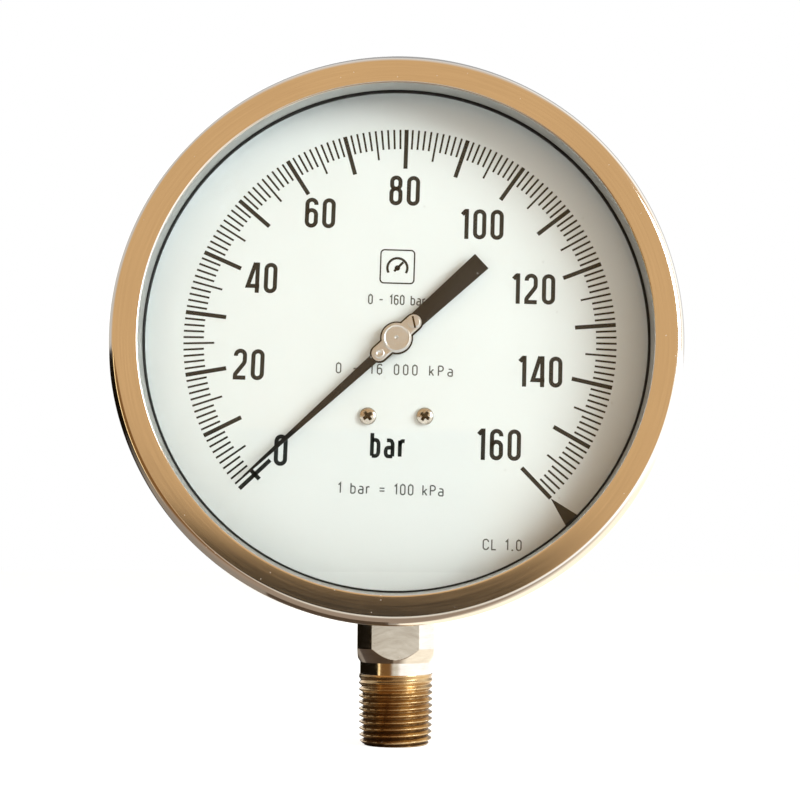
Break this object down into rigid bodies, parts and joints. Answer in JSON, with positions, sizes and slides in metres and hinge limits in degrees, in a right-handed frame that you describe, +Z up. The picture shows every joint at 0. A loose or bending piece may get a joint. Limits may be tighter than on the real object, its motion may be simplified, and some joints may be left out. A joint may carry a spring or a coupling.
{
  "type": "pressure gauge",
  "caption": "Round Bourdon-tube pressure gauge with a bayonet bezel ring, white dial, adjustable pointer and threaded bottom stem.",
  "frame": {"origin": "centre of the threaded stem's lower end face", "axes": "+Z up the stem's axis towards the dial, -Y the way the dial faces, +X to the reader's right"},
  "size_m": [0.161, 0.051, 0.1955],
  "materials": {
    "case_steel": "satin drawn stainless steel",
    "bezel_steel": "polished stainless steel with fine circular scratches",
    "stem_steel": "machined stainless steel",
    "tube_steel": "pickled stainless tube",
    "screw_steel": "bright turned steel",
    "nickel": "nickelled, turned",
    "brass": "satin brass",
    "bush_brass": "bright bearing brass",
    "spring_bronze": "phosphor bronze strip",
    "dial_white": "white lacquered aluminium with black scale",
    "pointer_black": "matt black lacquer",
    "seal_rubber": "black rubber",
    "glass": "flat laminated safety glass"
  },
  "bodies": {
    "housing": {"case_shell": "case_steel", "window_glass": "glass", "window_seal": "seal_rubber", "vent_plug": "seal_rubber", "case_screws": "screw_steel", "dial_plate": "dial_white", "dial_screws": "screw_steel", "dial_posts": "brass", "hairspring": "spring_bronze", "spring_stud": "brass", "rear_plate": "brass", "front_plate": "brass", "rear_bushes": "bush_brass", "front_bushes": "bush_brass", "movement_pillars": "brass", "plate_screws": "screw_steel", "movement_screws": "screw_steel", "bourdon_tube": "tube_steel", "stem_socket": "stem_steel", "restrictor_screw": "stem_steel", "stem_grommet": "seal_rubber"},
    "bezel": {"bezel_ring": "bezel_steel"},
    "pointer": {"pinion_arbor": "screw_steel", "spring_collet": "brass", "pointer_bush": "brass", "hub_plate": "nickel", "hub_rivet": "nickel"},
    "blade": {"pointer_blade": "pointer_black"},
    "trimmer": {"trim_screw": "nickel"},
    "sector": {"sector_gear": "brass", "sector_arbor": "screw_steel", "tail_pin": "screw_steel"},
    "tube_end": {"tube_tip": "tube_steel", "tip_pin": "screw_steel"},
    "link": {"link_bar": "brass"}
  },
  "joints": [
    {"name": "pointer_turn", "type": "hinge", "parent": "housing", "child": "pointer", "pos_m": [0, -0.012, 0.115], "axis": [0, 1, 0], "range_deg": [-2, 274], "deforming": ["hairspring"]},
    {"name": "bezel_twist", "type": "hinge", "parent": "housing", "child": "bezel", "pos_m": [0, -0.025, 0.115], "axis": [0, 1, 0], "range_deg": [0, 30]},
    {"name": "zero_trim", "type": "hinge", "parent": "pointer", "child": "blade", "pos_m": [0, -0.0203, 0.115], "axis": [0, 1, 0], "range_deg": [-4, 4]},
    {"name": "trim_screw_turn", "type": "hinge", "parent": "pointer", "child": "trimmer", "pos_m": [0.00493, -0.021, 0.11954], "axis": [0, 1, 0], "range_deg": [-81, 81]},
    {"name": "sector_swing", "type": "hinge", "parent": "housing", "child": "sector", "pos_m": [0.02298, -0.005, 0.09572], "axis": [0, 1, 0], "range_deg": [-31, 1]},
    {"name": "tube_flex", "type": "hinge", "parent": "housing", "child": "tube_end", "pos_m": [-0.01084, 0, 0.12769], "axis": [0, 1, 0], "range_deg": [-5, 0.2], "deforming": ["bourdon_tube"]},
    {"name": "link_turn", "type": "hinge", "parent": "tube_end", "child": "link", "pos_m": [0.02868, -0.0067, 0.10803], "axis": [0, 1, 0], "range_deg": [-0.5, 12]}
  ],
  "couplings": [
    {"joint": "sector_swing", "follows": "pointer_turn", "ratio": -0.11111},
    {"joint": "tube_flex", "follows": "pointer_turn", "ratio": -0.017701},
    {"joint": "link_turn", "follows": "pointer_turn", "ratio": 0.040372},
    {"joint": "trim_screw_turn", "follows": "zero_trim", "ratio": 20}
  ]
}
